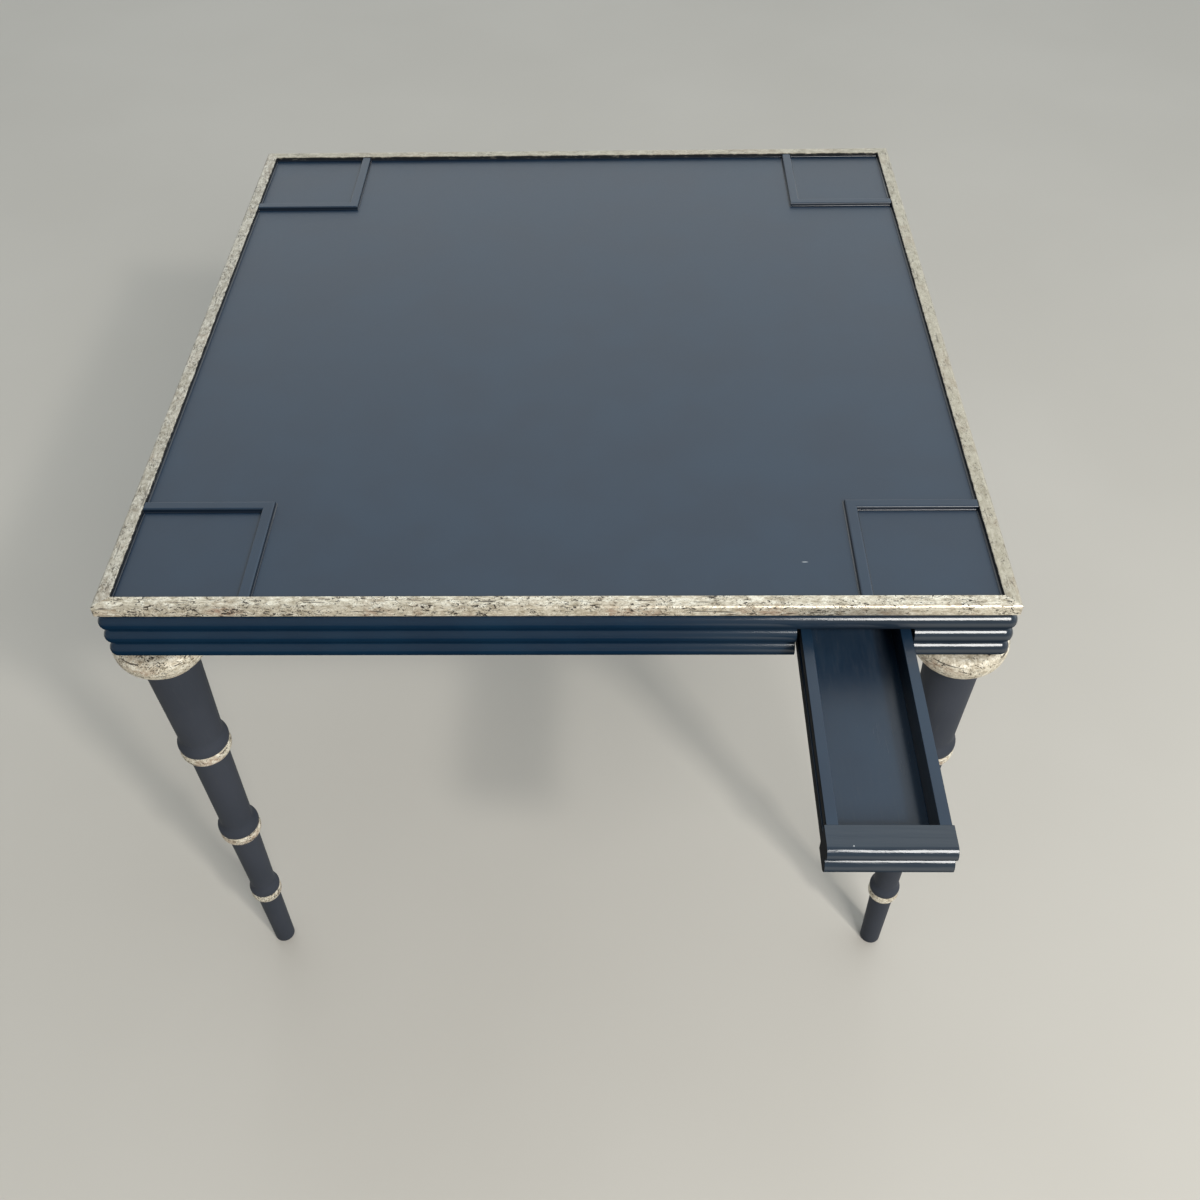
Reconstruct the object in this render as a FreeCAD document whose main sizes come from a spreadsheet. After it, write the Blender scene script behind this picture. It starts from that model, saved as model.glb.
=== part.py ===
"""Square games table with turned bamboo-style legs and a small drawer on each side.

The frame is the floor under the middle of the table: +X to the right, -Y to the
front, +Z up, in millimetres. Every piece of a side is drawn on the front side and
turned by quarter turns about the table's axis to its own side.
"""

import FreeCAD, Part
import Sketcher
import math
import os
import re

# Driving sizes of the table, one cell each.
SIZES = {
    # Top
    "top_width": 914,
    "table_height": 737,
    "rim_width": 16,
    "rim_height": 14.5,
    "rim_top_radius": 4,
    "rim_bottom_radius": 3,
    "rim_inner_radius": 1.5,
    "rim_corner_radius": 3,
    "field_recess": 6,
    # Strips that mark off the corner squares
    "corner_square": 127,
    "strip_width": 12,
    "strip_rise": 5,
    "strip_let_in": 3,
    "strip_edge_radius": 2,
    # Reeded apron
    "apron_thickness": 20,
    "reed_count": 3,
    "reed_height": 19.7,
    "reed_depth": 7.5,
    "reed_proud": 1,
    "reed_corner_radius": 1.5,
    "quirk_height": 3.4,
    # Collars under the apron
    "collar_height": 34.5,
    "collar_lip_radius": 38,
    "collar_lip_height": 2,
    "collar_top_radius": 50.5,
    "collar_shoulder_radius": 10,
    # Legs, from the shoulder under the collar to the foot
    "leg_inset": 38,
    "tenon_radius": 18,
    "shoulder_radius": 30.5,
    "neck_upper_radius": 25.4,
    "swell_upper": 3.4,
    "start_second_radius": 22.8,
    "neck_middle_radius": 20.1,
    "swell_middle": 4.7,
    "start_third_radius": 19,
    "neck_lower_radius": 16.1,
    "swell_lower": 3.1,
    "start_fourth_radius": 15.2,
    "foot_radius": 13.4,
    "foot_rounding": 2.5,
    "flare_height": 19,
    "node_height": 8,
    "node_bulge": 0.6,
    # Rings round the legs, by the height of their middles
    "ring_upper_middle": 460,
    "ring_middle_middle": 282.5,
    "ring_lower_middle": 128,
    "ring_height": 17,
    "ring_bulge": 3.4,
    "ring_proud": 0.8,
    "ring_upper_wall": 0.4,
    "ring_middle_wall": 2,
    "ring_lower_wall": 1,
    # Studs that hold the legs
    "stud_radius": 5,
    "stud_in_leg": 50,
    "stud_in_block": 28,
    "insert_radius": 8,
    "insert_length": 24,
    # Drawers
    "drawer_inset": 98.5,
    "drawer_opening_width": 117,
    "drawer_reeds": 2,
    "drawer_gap": 1.75,
    "drawer_top_gap": 2,
    "drawer_box_gap": 3.5,
    "drawer_box_lift": 0.5,
    "drawer_length": 354,
    "drawer_front_thickness": 29,
    "drawer_side_thickness": 11,
    "drawer_back_thickness": 11,
    "drawer_bottom_thickness": 3,
    "drawer_bottom_lift": 2,
    "drawer_bottom_let_in": 4,
    "drawer_pulled_out": 249.5,
    # Guides that carry the drawers
    "guide_thickness": 15,
    "guide_side_gap": 1,
    "guide_lift": 5,
    "guide_overrun": 12,
    "runner_height": 10,
    "runner_depth": 5,
    "runner_lift": 14,
    "runner_gap": 0.4,
    # Stops behind the drawer fronts
    "stop_width": 40,
    "stop_thickness": 18,
    "stop_drop": 7,
    "stop_gap": 0.4,
    # Fits and cuts
    "fit_clearance": 0.2,
    "cut_overrun": 5,
}

# Sizes that follow from the driving ones.
WORKED = {
    "half": "top_width / 2",
    "rim_inner": "half - rim_width",
    "rim_bottom": "table_height - rim_height",
    "field_top": "table_height - field_recess",
    "panel_thickness": "rim_height - field_recess",
    "strip_outer": "rim_inner - corner_square",
    "strip_inner": "strip_outer - strip_width",
    "strip_length": "corner_square + strip_width",
    "strip_bottom": "field_top - strip_let_in",
    "strip_top": "field_top + strip_rise",
    "reed_face": "half + reed_proud",
    "reed_root": "reed_face - reed_depth",
    "reed_turn": "reed_root - reed_corner_radius",
    "reeds_top": "rim_bottom - quirk_height",
    "apron_bottom": "reeds_top - reed_count * reed_height",
    "apron_inner": "half - apron_thickness",
    "reed_curve": "(reed_height ^ 2 / 4 + reed_depth ^ 2) / (2 * reed_depth)",
    "leg_axis": "half - leg_inset",
    "node_upper": "neck_upper_radius + swell_upper",
    "node_middle": "neck_middle_radius + swell_middle",
    "node_lower": "neck_lower_radius + swell_lower",
    "collar_lip": "apron_bottom - collar_height",
    "collar_swell": "collar_top_radius - collar_lip_radius",
    "collar_rise": "collar_height - collar_lip_height - collar_shoulder_radius",
    "collar_curve": "(collar_swell ^ 2 + collar_rise ^ 2) / (2 * collar_swell)",
    "tenon_bore": "tenon_radius + fit_clearance",
    "stud_bore": "stud_radius + fit_clearance",
    "insert_bore": "insert_radius + fit_clearance",
    "opening_right": "half - drawer_inset",
    "opening_left": "opening_right - drawer_opening_width",
    "opening_top": "apron_bottom + drawer_reeds * reed_height",
    "drawer_axis": "opening_right - drawer_opening_width / 2",
    "drawer_top": "opening_top - drawer_top_gap",
    "face_left": "opening_left + drawer_gap",
    "face_width": "drawer_opening_width - 2 * drawer_gap",
    "face_inner": "reed_face - drawer_front_thickness",
    "top_reed_height": "reed_height - drawer_top_gap",
    "top_reed_curve": "(top_reed_height ^ 2 / 4 + reed_depth ^ 2) / (2 * reed_depth)",
    "box_left": "opening_left + drawer_box_gap",
    "box_right": "opening_right - drawer_box_gap",
    "box_bottom": "apron_bottom + drawer_box_lift",
    "box_height": "drawer_top - box_bottom",
    "box_end": "reed_face - drawer_length",
    "tray_left": "box_left + drawer_side_thickness",
    "tray_right": "box_right - drawer_side_thickness",
    "tray_end": "box_end + drawer_back_thickness",
    "floor_bottom": "box_bottom + drawer_bottom_lift",
    "floor_top": "floor_bottom + drawer_bottom_thickness",
    "groove_top": "floor_top + fit_clearance",
    "groove_depth": "drawer_bottom_let_in + fit_clearance",
    "runner_bottom": "box_bottom + runner_lift",
    "runner_top": "runner_bottom + runner_height",
    "tongue_bottom": "runner_bottom + runner_gap",
    "tongue_top": "runner_top - runner_gap",
    "tongue_reach": "runner_depth - runner_gap",
    "guide_bottom": "apron_bottom + guide_lift",
    "guide_end": "box_end - guide_overrun",
    "guide_left": "box_left - guide_side_gap",
    "guide_right": "box_right + guide_side_gap",
    "guide_left_outer": "guide_left - guide_thickness",
    "guide_right_outer": "guide_right + guide_thickness",
    "stop_front": "face_inner - stop_gap",
    "stop_bottom": "drawer_top - stop_drop",
}

SIDES = ("front", "right", "back", "left")
CORNERS = ("front_left", "front_right", "back_right", "back_left")
EIGHTH_TURN = 45
QUARTER_TURN = 90
FULL_TURN = 360
LEFT_TURN = 1
RIGHT_TURN = -1
FUNCTIONS = ("sqrt",)

doc = FreeCAD.newDocument("games_table")
sub_parts = []


def make_sheet():
    """Put every driving size in its own cell under its own name."""
    sheet = doc.addObject("Spreadsheet::Sheet", "Sizes")
    for row, (name, size) in enumerate(SIZES.items(), start=1):
        sheet.set(f"A{row}", name)
        sheet.set(f"B{row}", str(size))
        sheet.setAlias(f"B{row}", name)
    doc.recompute()
    return sheet


sizes = make_sheet()


def expression(text):
    """Write names of sizes as references to the sheet's cells."""

    def reference(match):
        word = match.group(0)
        if word in WORKED:
            return f"({expression(WORKED[word])})"
        return word if word in FUNCTIONS else f"Sizes.{word}"

    return re.sub(r"[a-z_]+", reference, text)


def value(text):
    return float(sizes.evalExpression(expression(text)))


def bind(thing, name, text):
    thing.setExpression(name, expression(text))


def new_body(label, quarter_turns=0):
    """Start a sub-part that is turned about the table's axis to its own side."""
    body = doc.addObject("PartDesign::Body", label)
    body.Label = label
    turn = FreeCAD.Rotation(FreeCAD.Vector(0, 0, 1), QUARTER_TURN * quarter_turns)
    body.Placement = FreeCAD.Placement(FreeCAD.Vector(0, 0, 0), turn)
    sub_parts.append(body)
    return body


def arc_between(start, end, radius, turn):
    """Lesser arc from start to end, turning left or right on the way."""
    chord = end - start
    middle = (start + end) / 2
    rise = math.sqrt(max(radius**2 - (chord.Length / 2) ** 2, 0))
    to_left = FreeCAD.Vector(-chord.y, chord.x, 0).normalize()
    centre = middle + to_left * rise * turn
    circle = Part.Circle(centre, FreeCAD.Vector(0, 0, 1), radius)
    first, last = (start, end) if turn == LEFT_TURN else (end, start)
    return Part.ArcOfCircle(circle, circle.parameter(first), circle.parameter(last))


def add_outline(sketch, outline):
    """Add one closed outline whose corners and radii are bound to the sheet.

    A step is (across, up) for a straight run to that corner, or
    (across, up, radius, turn) for an arc to it.
    """
    base = sketch.GeometryCount
    count = len(outline)
    corners = [FreeCAD.Vector(value(step[0]), value(step[1]), 0) for step in outline]
    ends = []
    for index in range(count):
        following = (index + 1) % count
        step = outline[following]
        start, end = corners[index], corners[following]
        if len(step) == 2:
            sketch.addGeometry(Part.LineSegment(start, end), False)
            ends.append((1, 2))
        else:
            turn = step[3]
            sketch.addGeometry(arc_between(start, end, value(step[2]), turn), False)
            ends.append((1, 2) if turn == LEFT_TURN else (2, 1))
    for index in range(count):
        following = (index + 1) % count
        join = Sketcher.Constraint(
            "Coincident", base + index, ends[index][1], base + following, ends[following][0]
        )
        sketch.addConstraint(join)
    for index, step in enumerate(outline):
        place = (base + index, ends[index][0])
        bind_constraint(sketch, "DistanceX", place, step[0])
        bind_constraint(sketch, "DistanceY", place, step[1])
        if len(step) > 2:
            bind_constraint(sketch, "Radius", (base + (index - 1) % count,), step[2])


def bind_constraint(sketch, kind, place, text):
    number = sketch.addConstraint(Sketcher.Constraint(kind, *place, value(text)))
    name = f"{kind}_{number}"
    sketch.renameConstraint(number, name)
    bind(sketch, f"Constraints.{name}", text)


def draw(body, plane, outlines, offset="0"):
    """Sketch closed outlines on one of the body's own planes, shifted along its normal."""
    sketch = body.newObject("Sketcher::SketchObject", f"{body.Label}_outline")
    support = next(f for f in body.Origin.OriginFeatures if f.Role == plane)
    sketch.AttachmentSupport = [(support, "")]
    sketch.MapMode = "FlatFace"
    bind(sketch, "AttachmentOffset.Base.z", offset)
    for outline in outlines:
        add_outline(sketch, outline)
    return sketch


def pad(body, sketch, length, reverse=False, symmetric=False):
    feature = body.newObject("PartDesign::Pad", f"{body.Label}_pad")
    feature.Profile = sketch
    bind(feature, "Length", length)
    feature.Reversed = reverse
    if symmetric:
        feature.SideType = "Symmetric"
    return feature


def cut(body, sketch, depth=None, reverse=False):
    """Cut to a depth, or right through both ways when no depth is given."""
    feature = body.newObject("PartDesign::Pocket", f"{body.Label}_cut")
    feature.Profile = sketch
    feature.Reversed = reverse
    if depth is None:
        feature.Type = "ThroughAll"
        feature.SideType = "Symmetric"
    else:
        bind(feature, "Length", depth)
    return feature


def turn_about_upright(body, sketch, angle, reverse=False):
    """Revolve a sketch about its own upright axis."""
    feature = body.newObject("PartDesign::Revolution", f"{body.Label}_turning")
    feature.Profile = sketch
    feature.ReferenceAxis = (sketch, ["V_Axis"])
    feature.Angle = angle
    feature.Reversed = reverse
    return feature


def turn_piece(body, outlines):
    """Turn a whole piece from outlines of (radius, height)."""
    turn_about_upright(body, draw(body, "XZ_Plane", outlines), FULL_TURN)


def rectangle(left, bottom, right, top):
    return [(left, bottom), (right, bottom), (right, top), (left, top)]


def stand_at_leg(body, corner):
    """Move a turned piece to the axis of its leg."""
    bind(body, "Placement.Base.x", "-leg_axis" if corner.endswith("left") else "leg_axis")
    bind(body, "Placement.Base.y", "-leg_axis" if corner.startswith("front") else "leg_axis")


def mitre_ends(body, face, inner, radius):
    """Mitre both ends of a front moulding and round the corner that the mitres make."""
    outside = f"{face} + cut_overrun"
    inside = f"{inner} - cut_overrun"
    round_start = f"{face} - {radius}"
    round_end = f"{face} - {radius} + {radius} / sqrt(2)"
    for side, turn in (("-", RIGHT_TURN), ("", LEFT_TURN)):
        outline = [
            (f"{side}({round_start})", f"-({outside})"),
            (f"{side}({round_start})", f"-{face}"),
            (f"{side}({round_end})", f"-({round_end})", radius, turn),
            (f"{side}({inside})", f"-({inside})"),
            (f"{side}({outside})", f"-({inside})"),
            (f"{side}({outside})", f"-({outside})"),
        ]
        cut(body, draw(body, "XY_Plane", [outline]))


def make_top_panel():
    """Recessed playing field, grooved for the corner strips."""
    body = new_body("top_panel")
    square = rectangle("-rim_inner", "-rim_inner", "rim_inner", "rim_inner")
    pad(body, draw(body, "XY_Plane", [square], "rim_bottom"), "panel_thickness")
    beyond = "-(rim_inner + cut_overrun)"
    groove = [
        (beyond, "-strip_outer"),
        ("-strip_outer", "-strip_outer"),
        ("-strip_outer", beyond),
        ("-strip_inner", beyond),
        ("-strip_inner", "-strip_inner"),
        (beyond, "-strip_inner"),
    ]
    grooves = cut(body, draw(body, "XY_Plane", [groove], "field_top"), "strip_let_in")
    doc.recompute()
    pattern = body.newObject("PartDesign::PolarPattern", "top_panel_grooves")
    pattern.Originals = [grooves]
    pattern.Axis = (next(f for f in body.Origin.OriginFeatures if f.Role == "Z_Axis"), [""])
    pattern.Angle = FULL_TURN
    pattern.Occurrences = len(CORNERS)
    body.Tip = pattern


def make_corner_strips(corner, quarter_turns):
    """Two mitred strips that mark off one corner square, let into the panel."""
    near, far = "-strip_outer", "-strip_inner"
    section = [
        (near, "strip_bottom"),
        (far, "strip_bottom"),
        (far, "strip_top - strip_edge_radius"),
        (f"{far} - strip_edge_radius", "strip_top", "strip_edge_radius", LEFT_TURN),
        (f"{near} + strip_edge_radius", "strip_top"),
        (near, "strip_top - strip_edge_radius", "strip_edge_radius", LEFT_TURN),
    ]
    before, past = f"{near} - cut_overrun", f"{far} + cut_overrun"
    across = new_body(f"corner_strip_{corner}_across", quarter_turns)
    pad(across, draw(across, "YZ_Plane", [section], "-rim_inner"), "strip_length")
    cut(across, draw(across, "XY_Plane", [[(before, before), (past, before), (past, past)]]))
    along = new_body(f"corner_strip_{corner}_along", quarter_turns)
    pad(along, draw(along, "XZ_Plane", [section], "rim_inner"), "strip_length", reverse=True)
    cut(along, draw(along, "XY_Plane", [[(before, before), (past, past), (before, past)]]))


def make_rim(side, quarter_turns):
    """Rounded edge moulding that frames the panel."""
    body = new_body(f"rim_{side}", quarter_turns)
    section = [
        ("-rim_inner", "rim_bottom"),
        ("-half + rim_bottom_radius", "rim_bottom"),
        ("-half", "rim_bottom + rim_bottom_radius", "rim_bottom_radius", RIGHT_TURN),
        ("-half", "table_height - rim_top_radius"),
        ("-half + rim_top_radius", "table_height", "rim_top_radius", RIGHT_TURN),
        ("-rim_inner - rim_inner_radius", "table_height"),
        ("-rim_inner", "table_height - rim_inner_radius", "rim_inner_radius", RIGHT_TURN),
    ]
    pad(body, draw(body, "YZ_Plane", [section]), "top_width", symmetric=True)
    mitre_ends(body, "half", "rim_inner", "rim_corner_radius")


def reeded_face(root, bottom, heights, curves):
    """Outer edge of a reeded section, from the lowest reed up."""
    steps = [(root, bottom)]
    for height, curve in zip(heights, curves):
        steps.append((root, height, curve, RIGHT_TURN))
    return steps


def make_apron(side, quarter_turns):
    """Reeded apron, mitred and turned round the corners, notched from below for the drawer."""
    body = new_body(f"apron_{side}", quarter_turns)
    count = int(value("reed_count"))
    heights = [f"apron_bottom + reed_height * {reed + 1}" for reed in range(count)]

    def section(inner, root):
        steps = [(inner, "apron_bottom")]
        steps += reeded_face(root, "apron_bottom", heights, ["reed_curve"] * count)
        return steps + [(root, "rim_bottom"), (inner, "rim_bottom")]

    length = section("-apron_inner", "-reed_root")
    pad(body, draw(body, "YZ_Plane", [length]), "2 * reed_turn", symmetric=True)
    inside = "apron_inner - cut_overrun"
    outside = "reed_turn + cut_overrun"
    for hand in ("-", ""):
        mitre = [
            (f"{hand}reed_turn", "-reed_turn"),
            (f"{hand}({inside})", f"-({inside})"),
            (f"{hand}({outside})", f"-({inside})"),
            (f"{hand}({outside})", "-reed_turn"),
        ]
        cut(body, draw(body, "XY_Plane", [mitre]))
    for hand in ("-", ""):
        end = draw(body, "YZ_Plane", [section("0", "-reed_corner_radius")], f"{hand}reed_turn")
        bind(end, "AttachmentOffset.Base.x", "-reed_turn")
        turn_about_upright(body, end, EIGHTH_TURN, reverse=hand == "-")
    notch = rectangle("opening_left", "apron_bottom - cut_overrun", "opening_right", "opening_top")
    cut(body, draw(body, "XZ_Plane", [notch]))


def make_corner_block(corner, quarter_turns):
    """Glue block in the apron's corner, bored from below for a threaded insert."""
    body = new_body(f"corner_block_{corner}", quarter_turns)
    outer, inner = "-apron_inner", "-guide_right_outer"
    square = rectangle(outer, outer, inner, inner)
    block = draw(body, "XY_Plane", [square], "apron_bottom")
    pad(body, block, "rim_bottom - apron_bottom")
    for radius, depth in (("insert_bore", "insert_length"), ("stud_bore", "stud_in_block")):
        bore = draw(body, "XY_Plane", [], "apron_bottom")
        add_circle(bore, "-leg_axis", "-leg_axis", radius)
        cut(body, bore, depth, reverse=True)


def add_circle(sketch, across, up, radius):
    centre = FreeCAD.Vector(value(across), value(up), 0)
    circle = Part.Circle(centre, FreeCAD.Vector(0, 0, 1), value(radius))
    number = sketch.addGeometry(circle, False)
    bind_constraint(sketch, "DistanceX", (number, 3), across)
    bind_constraint(sketch, "DistanceY", (number, 3), up)
    bind_constraint(sketch, "Radius", (number,), radius)


# Rings from the top down: middle, the leg's neck and swelling above, wall, and the leg below.
RINGS = (
    ("ring_upper_middle", "neck_upper_radius", "node_upper", "ring_upper_wall", "start_second_radius"),
    ("ring_middle_middle", "neck_middle_radius", "node_middle", "ring_middle_wall", "start_third_radius"),
    ("ring_lower_middle", "neck_lower_radius", "node_lower", "ring_lower_wall", "start_fourth_radius"),
)


def ring_edge(node):
    """Radius of a ring at its upper and lower edges, below its bulge."""
    return f"({node} + ring_proud - ring_bulge)"


def make_leg(corner):
    """Turned leg: tenon, four tapering lengths, and a swelling above each ring."""
    body = new_body(f"leg_{corner}")
    stand_at_leg(body, corner)
    bore_end = "apron_bottom - stud_in_leg"
    outline = [
        ("0", bore_end),
        ("stud_bore", bore_end),
        ("stud_bore", "apron_bottom"),
        ("tenon_radius", "apron_bottom"),
        ("tenon_radius", "collar_lip"),
        ("shoulder_radius", "collar_lip"),
    ]
    for middle, neck, node, wall, start in RINGS:
        seat = f"{ring_edge(node)} - {wall} - fit_clearance"
        ring_top = f"{middle} + ring_height / 2"
        ring_bottom = f"{middle} - ring_height / 2"
        rise = "(flare_height - node_height)"
        flare_curve = f"(({node} - {neck}) ^ 2 + {rise} ^ 2) / (2 * ({node} - {neck}))"
        node_curve = "(node_height ^ 2 / 4 + node_bulge ^ 2) / (2 * node_bulge)"
        outline += [
            (neck, f"{ring_top} + flare_height"),
            (node, f"{ring_top} + node_height", flare_curve, LEFT_TURN),
            (node, ring_top, node_curve, RIGHT_TURN),
            (seat, ring_top),
            (seat, ring_bottom),
            (start, ring_bottom),
        ]
    outline += [
        ("foot_radius", "foot_rounding"),
        ("foot_radius - foot_rounding", "0", "foot_rounding", RIGHT_TURN),
        ("0", "0"),
    ]
    turn_piece(body, [outline])


def make_leg_rings(corner):
    """Three half-round bands that sit under the swellings of a leg."""
    body = new_body(f"leg_rings_{corner}")
    stand_at_leg(body, corner)
    outlines = []
    for middle, _, node, wall, _ in RINGS:
        top = f"{middle} + ring_height / 2"
        bottom = f"{middle} - ring_height / 2"
        edge = ring_edge(node)
        inside = f"{edge} - {wall}"
        curve = "(ring_height ^ 2 / 4 + ring_bulge ^ 2) / (2 * ring_bulge)"
        outlines.append([
            (inside, bottom),
            (edge, bottom),
            (edge, top, curve, LEFT_TURN),
            (inside, top),
        ])
    turn_piece(body, outlines)


def make_collar(corner):
    """Domed collar between a leg's shoulder and the apron's corner."""
    body = new_body(f"collar_{corner}")
    stand_at_leg(body, corner)
    outline = [
        ("tenon_bore", "collar_lip"),
        ("collar_lip_radius", "collar_lip"),
        ("collar_lip_radius", "collar_lip + collar_lip_height"),
        ("collar_top_radius", "apron_bottom - collar_shoulder_radius", "collar_curve", LEFT_TURN),
        (
            "collar_top_radius - collar_shoulder_radius",
            "apron_bottom",
            "collar_shoulder_radius",
            LEFT_TURN,
        ),
        ("tenon_bore", "apron_bottom"),
    ]
    turn_piece(body, [outline])


def make_group(label, members):
    group = doc.addObject("Part::Compound", label)
    group.Label = label
    group.Links = members
    sub_parts.append(group)


def cylinder(label, radius, bottom, height, corner):
    piece = doc.addObject("Part::Cylinder", label)
    bind(piece, "Radius", radius)
    bind(piece, "Height", height)
    bind(piece, "Placement.Base.z", bottom)
    stand_at_leg(piece, corner)
    return piece


def make_leg_fastenings():
    """Studs that screw the legs up into inserts in the corner blocks."""
    studs = []
    inserts = []
    for corner in CORNERS:
        stud_bottom = "apron_bottom - stud_in_leg"
        length = "stud_in_leg + stud_in_block"
        studs.append(cylinder(f"stud_{corner}", "stud_radius", stud_bottom, length, corner))
        sleeve = cylinder(f"sleeve_{corner}", "insert_radius", "apron_bottom", "insert_length", corner)
        bore = cylinder(f"bore_{corner}", "stud_bore", "apron_bottom", "insert_length", corner)
        insert = doc.addObject("Part::Cut", f"insert_{corner}")
        insert.Base = sleeve
        insert.Tool = bore
        inserts.append(insert)
    make_group("leg_studs", studs)
    make_group("leg_inserts", inserts)


def place_drawer(body, side):
    """Leave the front drawer pulled out, and the others shut."""
    if side == "front":
        bind(body, "Placement.Base.y", "-drawer_pulled_out")


def cut_floor_groove(body, left, right, back, front):
    """Groove for the drawer's floor, cut between two heights over a plan rectangle."""
    sketch = draw(body, "XY_Plane", [rectangle(left, back, right, front)], "floor_bottom")
    cut(body, sketch, "groove_top - floor_bottom", reverse=True)


def make_drawer(side, quarter_turns):
    """Open tray: a reeded face, two grooved sides, a back and a let-in floor."""
    name = f"{side}_drawer"

    face = new_body(f"{name}_face", quarter_turns)
    lower_reeds = int(value("drawer_reeds")) - 1
    heights = [f"apron_bottom + reed_height * {reed + 1}" for reed in range(lower_reeds)]
    curves = ["reed_curve"] * lower_reeds + ["top_reed_curve"]
    section = [("-face_inner", "apron_bottom")]
    section += reeded_face("-reed_root", "apron_bottom", heights + ["drawer_top"], curves)
    section += [("-face_inner", "drawer_top")]
    pad(face, draw(face, "YZ_Plane", [section], "face_left"), "face_width")
    groove_left = "tray_left - groove_depth"
    groove_right = "tray_right + groove_depth"
    inside = "-face_inner + cut_overrun"
    cut_floor_groove(face, groove_left, groove_right, "-(face_inner + groove_depth)", inside)

    for hand, outer, inner, away in (
        ("left", "box_left", "tray_left", "-"),
        ("right", "box_right", "tray_right", "+"),
    ):
        board = new_body(f"{name}_{hand}_side", quarter_turns)
        towards = "+" if away == "-" else "-"
        plan = rectangle(outer, "-face_inner", inner, "-box_end")
        pad(board, draw(board, "XY_Plane", [plan], "box_bottom"), "box_height")
        cut_floor_groove(
            board,
            f"{inner} {away} groove_depth",
            f"{inner} {towards} cut_overrun",
            "-(face_inner + cut_overrun)",
            "-(tray_end - groove_depth)",
        )
        runner = rectangle(
            f"{outer} {away} cut_overrun",
            "-(face_inner + cut_overrun)",
            f"{outer} {towards} runner_depth",
            "-(box_end - cut_overrun)",
        )
        sketch = draw(board, "XY_Plane", [runner], "runner_bottom")
        cut(board, sketch, "runner_height", reverse=True)
        place_drawer(board, side)

    back = new_body(f"{name}_back", quarter_turns)
    plan = rectangle("tray_left", "-tray_end", "tray_right", "-box_end")
    pad(back, draw(back, "XY_Plane", [plan], "box_bottom"), "box_height")
    before = "-(tray_end + cut_overrun)"
    beyond_left = "tray_left - cut_overrun"
    beyond_right = "tray_right + cut_overrun"
    cut_floor_groove(back, beyond_left, beyond_right, before, "-(tray_end - groove_depth)")

    floor = new_body(f"{name}_bottom", quarter_turns)
    plan = rectangle(
        "tray_left - drawer_bottom_let_in",
        "-(face_inner + drawer_bottom_let_in)",
        "tray_right + drawer_bottom_let_in",
        "-(tray_end - drawer_bottom_let_in)",
    )
    pad(floor, draw(floor, "XY_Plane", [plan], "floor_bottom"), "drawer_bottom_thickness")

    for body in (face, back, floor):
        place_drawer(body, side)


def make_drawer_guides(side, quarter_turns):
    """Two guides under the panel, each with a tongue that runs in a drawer side."""
    body = new_body(f"{side}_drawer_guides", quarter_turns)
    outlines = []
    for outer, inner, reach in (
        ("guide_left_outer", "guide_left", "box_left + tongue_reach"),
        ("guide_right_outer", "guide_right", "box_right - tongue_reach"),
    ):
        outlines.append([
            (outer, "guide_bottom"),
            (inner, "guide_bottom"),
            (inner, "tongue_bottom"),
            (reach, "tongue_bottom"),
            (reach, "tongue_top"),
            (inner, "tongue_top"),
            (inner, "rim_bottom"),
            (outer, "rim_bottom"),
        ])
    sketch = draw(body, "XZ_Plane", outlines, "stop_front")
    pad(body, sketch, "stop_front - guide_end", reverse=True)


def make_drawer_stops():
    """One block behind each drawer face, which stops it both ways."""
    body = new_body("drawer_stops")
    left = "drawer_axis - stop_width / 2"
    right = "drawer_axis + stop_width / 2"
    plan = rectangle(left, "-stop_front", right, "-(stop_front - stop_thickness)")
    block = pad(body, draw(body, "XY_Plane", [plan], "stop_bottom"), "rim_bottom - stop_bottom")
    doc.recompute()
    pattern = body.newObject("PartDesign::PolarPattern", "drawer_stops_pattern")
    pattern.Originals = [block]
    pattern.Axis = (next(f for f in body.Origin.OriginFeatures if f.Role == "Z_Axis"), [""])
    pattern.Angle = FULL_TURN
    pattern.Occurrences = len(SIDES)
    body.Tip = pattern


def check_and_write():
    """Write every sub-part once the whole document is sound."""
    doc.recompute()
    failed = [o.Label for o in doc.Objects if {"Invalid", "Error"} & set(o.State)]
    unsound = [p.Label for p in sub_parts if p.Shape.isNull() or not p.Shape.isValid()]
    if failed or unsound:
        raise RuntimeError(f"failed: {failed}, unsound: {unsound}")
    os.makedirs("parts", exist_ok=True)
    for piece in sub_parts:
        piece.Shape.exportStep(f"parts/{piece.Label}.step")
    print(f"wrote {len(sub_parts)} sub-parts")


make_top_panel()
for turns, (side, corner) in enumerate(zip(SIDES, CORNERS)):
    make_rim(side, turns)
    make_apron(side, turns)
    make_corner_strips(corner, turns)
    make_corner_block(corner, turns)
    make_leg(corner)
    make_leg_rings(corner)
    make_collar(corner)
    make_drawer(side, turns)
    make_drawer_guides(side, turns)
make_leg_fastenings()
make_drawer_stops()
check_and_write()
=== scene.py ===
"""Looks of the games table: lacquer, silver leaf, paint fillets, floor, light and camera."""
import math

import bmesh
import bpy
from mathutils import Matrix, Vector


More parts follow.
